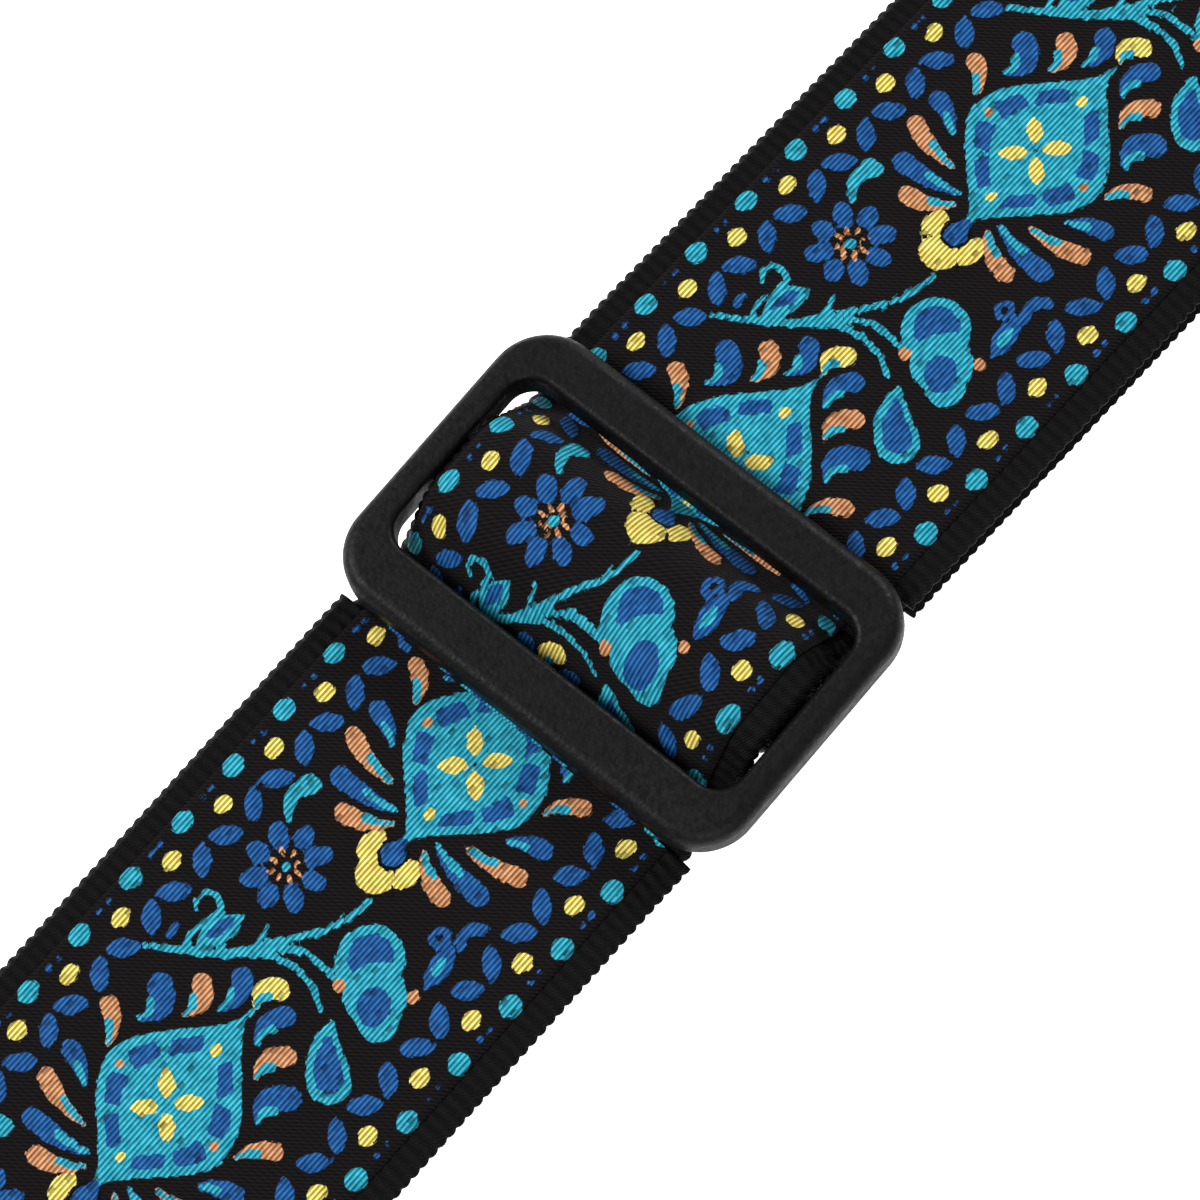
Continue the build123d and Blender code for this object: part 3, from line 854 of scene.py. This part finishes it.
def linear(hex_colour: str) -> tuple[float, float, float, float]:
    """An sRGB hex colour as linear values with alpha."""
    parts = [int(hex_colour[i : i + 2], 16) / 255 for i in (1, 3, 5)]
    return (*(c / 12.92 if c <= 0.04045 else ((c + 0.055) / 1.055) ** 2.4 for c in parts), 1.0)


class Shader:
    """A material's node tree with one way to add a node."""

    def __init__(self, name: str) -> None:
        """Starts an empty material."""
        self.material = bpy.data.materials.new(name)
        self.material.use_nodes = True
        self.tree = self.material.node_tree
        self.tree.nodes.clear()

    def add(self, kind: str, settings: dict | None = None, **inputs: object) -> bpy.types.Node:
        """Adds a node.

        Args:
            kind: The node's type.
            settings: Its own properties.
            inputs: Values or sockets for its inputs, by name with _ for a space, or i0, i1 by place.

        Returns:
            The node.
        """
        made = self.tree.nodes.new(kind)
        for key, value in (settings or {}).items():
            setattr(made, key, value)
        for key, value in inputs.items():
            by_place = key[0] == "i" and key[1:].isdigit()
            socket = made.inputs[int(key[1:])] if by_place else made.inputs[key.replace("_", " ")]
            if isinstance(value, bpy.types.NodeSocket):
                self.tree.links.new(value, socket)
            else:
                socket.default_value = value
        return made

    def math(self, operation: str, *values: object) -> bpy.types.NodeSocket:
        """A Math node's result."""
        inputs = {f"i{i}": v for i, v in enumerate(values)}
        return self.add("ShaderNodeMath", {"operation": operation}, **inputs).outputs[0]

    def mix(self, factor: object, a: object, b: object) -> bpy.types.NodeSocket:
        """Two colours mixed by a factor."""
        made = self.add("ShaderNodeMix", {"data_type": "RGBA"}, i0=factor, i6=a, i7=b)
        return made.outputs[2]

    def band(
        self,
        value: object,
        low: float,
        high: float,
        out_low: float = 0.0,
        out_high: float = 1.0,
    ) -> bpy.types.NodeSocket:
        """A value's range mapped to another, with a soft step."""
        made = self.add(
            "ShaderNodeMapRange",
            {"interpolation_type": "SMOOTHSTEP"},
            i0=value,
            i1=low,
            i2=high,
            i3=out_low,
            i4=out_high,
        )
        return made.outputs[0]

    def weave(self) -> tuple[bpy.types.NodeSocket, ...]:
        """A cloth's own coordinates: the place, the length along it and the distance across."""
        place = self.add("ShaderNodeAttribute", {"attribute_name": "weave_mm"}).outputs["Vector"]
        axes = self.add("ShaderNodeSeparateXYZ", Vector=place)
        return place, axes.outputs[0], axes.outputs[1]

    def plus(self, a: object, b: object) -> bpy.types.NodeSocket:
        """A sum."""
        return self.math("ADD", a, b)

    def times(self, a: object, b: object) -> bpy.types.NodeSocket:
        """A product."""
        return self.math("MULTIPLY", a, b)

    def sine(self, value: object, pitch: float) -> bpy.types.NodeSocket:
        """A sine wave that repeats once in each pitch."""
        return self.math("SINE", self.times(value, 2 * math.pi / pitch))

    def close(self, **inputs: object) -> bpy.types.Material:
        """Sends one surface shader with these inputs to the output."""
        surface = self.add("ShaderNodeBsdfPrincipled", **inputs)
        self.add("ShaderNodeOutputMaterial", Surface=surface.outputs[0])
        return self.material


@dataclass(frozen=True)
class WovenJacquard:
    """Jacquard ribbon of dyed polyester: satin floats over a black twill ground, with a soft sheen. Its
    colour is painted darker between the threads and paler on their crests and on the twill's ridges, as
    painted shade and highlight.
    """

    name: str = "polyester_jacquard_woven"
    thread: float = 0.5  # mm between floats, drawn coarser than it is so that it shows
    twill: float = 0.50  # mm between the ground's diagonals, drawn coarser than it is so that it shows
    ground: str = "#060505"
    # painted highlight: the paler black of the twill's raised diagonals
    ground_twill_highlight: str = "#141011"
    # Each dye in a bright and a deep colour; the deep one serves both for darker random streaks and for
    # painted shade between the threads.
    teal: str = "#35abc0"
    teal_deep: str = "#0f6f88"
    blue: str = "#235f9e"
    blue_deep: str = "#0b3569"
    yellow: str = "#ead873"
    yellow_deep: str = "#b3a044"
    tan: str = "#d0966a"
    tan_deep: str = "#94603d"
    ragged: float = 0.26  # mm that the floats' ends vary

    def build(self) -> bpy.types.Material:
        """Builds the material from the ribbon's own attributes."""
        sh = Shader(self.name)
        _, along, across = sh.weave()
        index = sh.math("FLOOR", sh.math("DIVIDE", across, self.thread))
        shift = sh.times(index, 7.31)
        pick = sh.math("FLOOR", sh.math("DIVIDE", sh.plus(along, shift), 0.85))
        seed = sh.add("ShaderNodeCombineXYZ", i0=index, i1=pick)
        chance = sh.add("ShaderNodeTexWhiteNoise", {"noise_dimensions": "2D"}, Vector=seed.outputs[0])
        jitter = sh.times(sh.math("SUBTRACT", chance.outputs["Value"], 0.55), self.ragged)

        sources = []
        for i in range(3):
            packed = sh.add("ShaderNodeAttribute", {"attribute_name": f"motif_{i}"}).outputs["Vector"]
            sources += list(sh.add("ShaderNodeSeparateXYZ", Vector=packed).outputs)
        masks = {
            name: sh.band(sh.plus(source, jitter), -0.05, 0.05)
            for name, source in zip(LAYER_ORDER, sources)
        }

        streak_place = sh.add("ShaderNodeCombineXYZ", i0=sh.times(along, 0.55), i1=index)
        streak = sh.add("ShaderNodeTexNoise", Vector=streak_place.outputs[0], Scale=1.0, Detail=2.0)
        tone = sh.band(streak.outputs[0], 0.3, 0.72)
        # The rounded top of each thread across the floats, used for their relief and for their painted shade.
        wave = sh.sine(across, self.thread)
        ridge = sh.band(wave, -1.0, 0.6)
        diagonal = sh.plus(along, sh.times(across, 0.8))
        twill = sh.sine(diagonal, self.twill)
        cross = sh.sine(along, 0.62)
        ground_rise = sh.band(sh.plus(twill, sh.times(cross, 0.5)), -1.3, 1.3)

        # Painted highlight and shade on the ground: paler black where the twill's diagonals rise, darker in
        # the furrows between them.
        colour = sh.mix(ground_rise, linear(self.ground), linear(self.ground_twill_highlight))
        dyes = {
            "teal": (self.teal_deep, self.teal),
            "blue": (self.blue_deep, self.blue),
            "yellow": (self.yellow_deep, self.yellow),
            "tan": (self.tan_deep, self.tan),
            "dark": (self.ground, self.ground),
            "light": (self.teal_deep, self.teal),
            "heart": (self.blue_deep, self.blue),
            "light_top": (self.teal_deep, self.teal),
            "tan_top": (self.tan_deep, self.tan),
        }
        # Each dye runs from its deep colour to its bright one by a random tone along the threads and by
        # painted shade, deeper in the valleys between threads and paler on their crests.
        shade = sh.times(tone, 0.75)
        shade = sh.plus(shade, sh.times(ridge, 0.35))
        raised = None
        for name, (deep, bright) in dyes.items():
            dye = sh.mix(shade, linear(deep), linear(bright))
            colour = sh.mix(masks[name], colour, dye)
            if name == "dark":
                raised = sh.times(raised, sh.math("SUBTRACT", 1.0, masks[name]))
            else:
                raised = masks[name] if raised is None else sh.math("MAXIMUM", raised, masks[name])
        gaps = sh.band(chance.outputs["Value"], 0.9, 1.0, 1.0, 0.45)
        # Painted shade: each float is darkened towards the valleys between its threads, down to 0.42; the
        # random gaps darken some floats further.
        valley_shade = sh.plus(0.42, sh.times(ridge, 0.58))
        darken = sh.times(valley_shade, gaps)
        darken = sh.plus(1.0, sh.times(raised, sh.math("SUBTRACT", darken, 1.0)))
        grey = sh.add("ShaderNodeCombineXYZ", i0=darken, i1=darken, i2=darken).outputs[0]
        multiply = {"data_type": "RGBA", "blend_type": "MULTIPLY"}
        tinted = sh.add("ShaderNodeMix", multiply, i0=1.0, i6=colour, i7=grey)

        float_rise = sh.times(raised, sh.plus(0.6, sh.times(ridge, 0.5)))
        bare = sh.math("SUBTRACT", 1.0, raised)
        ground_part = sh.times(bare, sh.times(ground_rise, 0.4))
        relief = sh.plus(float_rise, ground_part)
        bump = sh.add("ShaderNodeBump", Height=relief, Strength=0.85, Distance=0.00022)
        rough = sh.band(raised, 0.0, 1.0, 0.9, 0.6)
        return sh.close(
            Base_Color=tinted.outputs[2],
            Roughness=rough,
            Normal=bump.outputs[0],
            Sheen_Weight=0.03,
            Sheen_Roughness=0.45,
            Specular_IOR_Level=0.07,
        )


@dataclass(frozen=True)
class WovenWebbing:
    """Black polypropylene webbing: glossy filaments in a ribbed weave, with a faint waxy shine. Its colour is
    painted paler on the raised ribs and filaments and darker in the furrows.
    """

    name: str = "polypropylene_webbing_woven"
    filament: float = 0.16  # mm between filaments
    rib: float = 1.45

    def build(self) -> bpy.types.Material:
        """Builds the material from the webbing's own attribute."""
        sh = Shader(self.name)
        place, along, across = sh.weave()
        lean = sh.plus(across, sh.times(along, 0.6))
        strand = sh.sine(lean, 2 * self.filament)
        rib = sh.sine(along, self.rib)
        fuzz = sh.add("ShaderNodeTexNoise", Vector=place, Scale=3.2, Detail=4.0, Roughness=0.7).outputs[0]
        relief = sh.plus(sh.times(strand, 0.3), sh.times(rib, 0.5))
        relief = sh.plus(relief, fuzz)
        # Painted highlight and shade: paler where the ribs and filaments rise, darker in the furrows between
        # them; the fuzz noise adds a random tone.
        colour = sh.mix(sh.band(relief, -0.4, 1.5), linear("#040404"), linear("#0f0d0e"))
        bump = sh.add("ShaderNodeBump", Height=relief, Strength=0.6, Distance=0.0002)
        return sh.close(
            Base_Color=colour,
            Roughness=sh.band(fuzz, 0.3, 0.7, 0.48, 0.66),
            Normal=bump.outputs[0],
            Specular_IOR_Level=0.06,
        )


@dataclass(frozen=True)
class MouldedAcetal:
    """Black acetal, moulded in a spark-eroded tool: a fine leathery grain with a dull waxy sheen."""

    name: str = "acetal_moulded_black"
    grain: float = 0.55  # mm
    base: str = "#080707"
    worn: str = "#131110"

    def build(self) -> bpy.types.Material:
        """Builds the material on object coordinates."""
        sh = Shader(self.name)
        place = sh.add("ShaderNodeTexCoord").outputs["Object"]
        cells = sh.add("ShaderNodeTexVoronoi", Vector=place, Scale=1000 / self.grain).outputs["Distance"]
        fine_scale = 1000 / (self.grain * 1.6)
        fine = sh.add("ShaderNodeTexNoise", Vector=place, Scale=fine_scale, Detail=5.0, Roughness=0.65)
        broad = sh.add("ShaderNodeTexNoise", Vector=place, Scale=90.0, Detail=3.0)
        grain = sh.plus(sh.times(cells, 0.7), fine.outputs[0])
        paler_patches = sh.times(sh.band(broad.outputs[0], 0.45, 0.75), sh.band(fine.outputs[0], 0.4, 0.7))
        colour = sh.mix(paler_patches, linear(self.base), linear(self.worn))
        bump = sh.add("ShaderNodeBump", Height=grain, Strength=0.45, Distance=0.00012)
        return sh.close(
            Base_Color=colour,
            Roughness=sh.band(fine.outputs[0], 0.3, 0.7, 0.40, 0.58),
            Normal=bump.outputs[0],
            Specular_IOR_Level=0.13,
        )


@dataclass(frozen=True)
class TannedLeather:
    """Black chrome-tanned leather: pebbled grain with creases, a low waxed sheen and burnished edges."""

    name: str = "leather_tanned_black"
    pebble: float = 1.1  # mm
    base: str = "#0e0c0c"
    crest: str = "#1d1918"

    def build(self) -> bpy.types.Material:
        """Builds the material on object coordinates."""
        sh = Shader(self.name)
        place = sh.add("ShaderNodeTexCoord").outputs["Object"]
        warp = sh.add("ShaderNodeTexNoise", Vector=place, Scale=420.0, Detail=3.0).outputs["Color"]
        sway = {"operation": "MULTIPLY_ADD"}
        bent = sh.add("ShaderNodeVectorMath", sway, i0=warp, i1=(0.0006,) * 3, i2=place)
        cells = sh.add(
            "ShaderNodeTexVoronoi",
            {"feature": "DISTANCE_TO_EDGE"},
            Vector=bent.outputs[0],
            Scale=1000 / self.pebble,
        ).outputs["Distance"]
        pebbles = sh.band(cells, 0.0, 0.22)
        folds = sh.add("ShaderNodeTexNoise", Vector=place, Scale=140.0, Detail=6.0, Roughness=0.6)
        creases = folds.outputs[0]
        relief = sh.plus(pebbles, sh.times(creases, 0.8))
        # Paler on the pebbles' tops where the fold noise is high, darker along the grain lines between the
        # pebbles.
        paler_patches = sh.times(pebbles, sh.band(creases, 0.35, 0.7))
        colour = sh.mix(paler_patches, linear(self.base), linear(self.crest))
        bump = sh.add("ShaderNodeBump", Height=relief, Strength=0.5, Distance=0.0003)
        return sh.close(
            Base_Color=colour,
            Roughness=sh.band(creases, 0.3, 0.75, 0.44, 0.66),
            Normal=bump.outputs[0],
            Specular_IOR_Level=0.25,
        )


@dataclass(frozen=True)
class BondedThread:
    """Black bonded polyester thread: two plies twisted, with a slight gloss. The plies' crests along the
    twist are painted paler, a painted highlight.
    """

    name: str = "polyester_thread_bonded"
    ply: float = 0.7  # mm per turn of twist

    def build(self) -> bpy.types.Material:
        """Builds the material on object coordinates."""
        sh = Shader(self.name)
        place = sh.add("ShaderNodeTexCoord").outputs["Object"]
        turns = 1000 / self.ply / 6
        twist = sh.add("ShaderNodeTexWave", {"bands_direction": "DIAGONAL"}, Vector=place, Scale=turns)
        # Painted highlight: paler on the plies' crests along the twist, darker in the grooves between them.
        colour = sh.mix(twist.outputs[1], linear("#151313"), linear("#383433"))
        bump = sh.add("ShaderNodeBump", Height=twist.outputs[1], Strength=0.5, Distance=0.0001)
        return sh.close(
            Base_Color=colour,
            Roughness=sh.band(twist.outputs[1], 0.0, 1.0, 0.52, 0.36),
            Normal=bump.outputs[0],
        )


@dataclass
class EndTabs:
    """The leather plies and their thread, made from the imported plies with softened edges."""

    soften: float = 0.45  # mm
    plies: tuple[str, ...] = ("strap_tab_upper", "strap_tab_lower", "ring_tab_outer", "ring_tab_lining")
    threads: tuple[str, ...] = ("strap_tab_stitching", "ring_tab_stitching")

    def ply(self, node: str) -> bpy.types.Object:
        """A ply with rounded edges.

        Args:
            node: The CAD node it stands for.

        Returns:
            The new piece.
        """
        mesh = bpy.data.meshes.new(f"{node}_leather")
        shape = bmesh.new()
        shape.from_mesh(bpy.data.objects[node].data)
        bmesh.ops.remove_doubles(shape, verts=shape.verts, dist=0.00001)
        bmesh.ops.dissolve_limit(shape, angle_limit=math.radians(2), verts=shape.verts, edges=shape.edges)
        shape.to_mesh(mesh)
        shape.free()
        piece = link_piece(mesh)
        bevel = piece.modifiers.new("softened_edge", "BEVEL")
        bevel.width = self.soften * MM
        bevel.segments = 3
        bevel.limit_method = "ANGLE"
        bevel.angle_limit = math.radians(40)
        bevel.harden_normals = False
        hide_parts(node)
        mesh.shade_smooth()
        weighted = piece.modifiers.new("even_shading", "WEIGHTED_NORMAL")
        weighted.keep_sharp = False
        return piece

    def thread(self, node: str) -> bpy.types.Object:
        """Rounded thread segments in place of a stitching node's blocks.

        Args:
            node: The CAD node it stands for.

        Returns:
            The new piece.
        """
        source = bmesh.new()
        source.from_mesh(bpy.data.objects[node].data)
        bmesh.ops.remove_doubles(source, verts=source.verts, dist=0.000005)
        shape = bmesh.new()
        seen: set[int] = set()
        for start in source.verts:
            if start.index in seen:
                continue
            island, queue = [], [start]
            seen.add(start.index)
            while queue:
                vertex = queue.pop()
                island.append(vertex.co.copy())
                for edge in vertex.link_edges:
                    other = edge.other_vert(vertex)
                    if other.index not in seen:
                        seen.add(other.index)
                        queue.append(other)
            self.segment(shape, island)
        source.free()
        mesh = bpy.data.meshes.new(f"{node}_thread")
        shape.to_mesh(mesh)
        shape.free()
        mesh.shade_smooth()
        piece = link_piece(mesh)
        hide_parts(node)
        return piece

    @staticmethod
    def segment(shape: bmesh.types.BMesh, corners: list[Vector]) -> None:
        """One thread segment that fills a block's corners, its ends dipping into the leather."""
        middle = sum(corners, Vector()) / len(corners)
        pairs = [(a, b) for a in corners for b in corners if abs(a.z - b.z) < 1e-7]
        far = max(pairs, key=lambda pair: (pair[0] - pair[1]).length)
        apart = [pair for pair in pairs if (pair[0] - pair[1]).length > 1e-5]
        short = min(apart, key=lambda pair: (pair[0] - pair[1]).length)
        width = (short[0] - short[1]).length
        reach = math.sqrt(max((far[0] - far[1]).length ** 2 - width**2, 1e-12))
        across = (short[0] - short[1]).normalized()
        ahead = Vector((-across.y, across.x, 0.0))
        low = min(c.z for c in corners)
        made = bmesh.ops.create_uvsphere(shape, u_segments=8, v_segments=6, radius=0.5)
        for vertex in made["verts"]:
            p = vertex.co
            stretch = math.copysign(min(abs(p.z * 2) ** 0.6, 1.0), p.z) / 2
            rise = 0.00042 * (1 - (2 * stretch) ** 4) - 0.00008
            vertex.co = middle + ahead * (stretch * reach) + across * (p.x * width)
            vertex.co.z = low + rise * (p.y + 0.5)


@dataclass
class Studio:
    """A pale floor, soft lamps and the camera."""

    centre: Vector
    towards: tuple[float, float, float] = (-0.1685, -0.2826, 0.9443)  # from the adjuster to the camera
    upward: tuple[float, float, float] = (0.7225, 0.6163, 0.3133)
    distance: float = 0.70
    view_width: float = 0.1302  # metres across the picture at the adjuster
    aim: tuple[float, float, float] = (-0.00205, 0.00167, -0.0019)  # from the frame's middle
    lamps: tuple[tuple[str, tuple[float, float, float], float, float], ...] = (
        ("key", (-0.45, 0.75, 0.9), 0.45, 17.0),
        ("side", (0.85, 0.15, 0.55), 0.35, 7.0),
        ("front", (-0.5, -0.7, 0.9), 0.6, 8.0),
    )

    def floor(self) -> None:
        """A plain white floor that stays white under soft light."""
        shape = bmesh.new()
        bmesh.ops.create_grid(shape, x_segments=1, y_segments=1, size=4.0)
        bmesh.ops.translate(shape, verts=shape.verts, vec=(0, 0, -0.0004))
        mesh = bpy.data.meshes.new("studio_floor")
        shape.to_mesh(mesh)
        shape.free()
        piece = link_piece(mesh)
        sh = Shader("studio_white")
        white = sh.close(
            Base_Color=linear("#f6f6f6"),
            Roughness=0.95,
            Emission_Color=(1.0, 1.0, 1.0, 1.0),
            Emission_Strength=0.9,
        )
        mesh.materials.append(white)

    def lamp(self, name: str, place: tuple[float, float, float], size: float, power: float) -> None:
        """One soft lamp that faces the adjuster."""
        light = bpy.data.lights.new(name, "AREA")
        light.shape = "DISK"
        light.size = size
        light.energy = power
        lamp = bpy.data.objects.new(name, light)
        lamp.location = self.centre + Vector(place)
        lamp.rotation_euler = Vector(place).to_track_quat("Z", "Y").to_euler()
        bpy.context.scene.collection.objects.link(lamp)

    def lights(self) -> None:
        """Even light from all round, with a key, a side and a front lamp."""
        world = bpy.data.worlds.new("studio_air")
        world.use_nodes = True
        world.node_tree.nodes["Background"].inputs[0].default_value = (1.0, 1.0, 1.0, 1.0)
        world.node_tree.nodes["Background"].inputs[1].default_value = 0.26
        bpy.context.scene.world = world
        bpy.context.scene.view_settings.view_transform = "Standard"
        for lamp in self.lamps:
            self.lamp(*lamp)

    def camera(self) -> None:
        """The camera, with the strap rising to the picture's upper right."""
        towards = Vector(self.towards).normalized()
        upward = Vector(self.upward)
        upward = (upward - towards * upward.dot(towards)).normalized()
        data = bpy.data.cameras.new("view")
        data.sensor_width = 36.0
        data.lens = data.sensor_width * self.distance / self.view_width
        data.clip_start = 0.05
        data.clip_end = 20.0
        camera = bpy.data.objects.new("view", data)
        camera.location = self.centre + Vector(self.aim) + towards * self.distance
        camera.rotation_euler = Matrix((upward.cross(towards), upward, towards)).transposed().to_euler()
        bpy.context.scene.collection.objects.link(camera)
        bpy.context.scene.camera = camera


def ride_run(piece: bpy.types.Object, run: Run) -> None:
    """Puts a strap layer on its body; the long, face and return runs stay on no body, their places baked into
    the mesh.
    """
    if run.name == "long_run":
        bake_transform(piece)
    elif run.name in ("face_run", "return_run"):
        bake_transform(piece)
    else:
        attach(piece, run.body)


def dress(piece: bpy.types.Object, material: bpy.types.Material) -> None:
    """Gives a whole piece one material."""
    piece.data.materials.clear()
    piece.data.materials.append(material)


def main() -> None:
    """Builds the strap's looks and reports each piece."""
    logging.basicConfig(level=logging.INFO, format="%(message)s")
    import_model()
    sizes = StrapSizes()
    frame_low, frame_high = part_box("adjuster_frame")
    centre = Centre((frame_low[0] + frame_high[0]) / 2 / MM, (frame_low[1] + frame_high[1]) / 2 / MM)
    jacquard = WovenJacquard().build()
    webbing = WovenWebbing().build()
    moulding = MouldedAcetal().build()
    leather = TannedLeather().build()
    thread = BondedThread().build()

    cloth = StrapCloth(sizes, centre)
    for run in StrapLayout(sizes).runs:
        band = cloth.webbing(run)
        dress(band, webbing)
        layers = [(band, f"webbing_{run.name}")]
        if run.name != "bar_loop":
            ribbon = cloth.ribbon(run)
            dress(ribbon, jacquard)
            layers.append((ribbon, f"ribbon_{run.name}"))
        for piece, node in layers:
            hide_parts(node)
            ride_run(piece, run)
            log.info("%s: %d faces", piece.name, len(piece.data.polygons))

    tabs = EndTabs()
    for node in tabs.plies:
        piece = tabs.ply(node)
        dress(piece, leather)
        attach(piece, "strap" if node.startswith("strap") else "ring_tab")
        log.info("%s", piece.name)
    for node in tabs.threads:
        piece = tabs.thread(node)
        dress(piece, thread)
        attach(piece, "strap" if node.startswith("strap") else "ring_tab")
        log.info("%s", piece.name)

    for node in ("adjuster_frame", "ring"):
        for slot in bpy.data.objects[node].material_slots:
            slot.material = moulding

    studio = Studio(Vector((centre.x * MM, centre.y * MM, (frame_low[2] + frame_high[2]) / 2)))
    studio.floor()
    studio.lights()
    studio.camera()


if __name__ == "__main__":
    main()
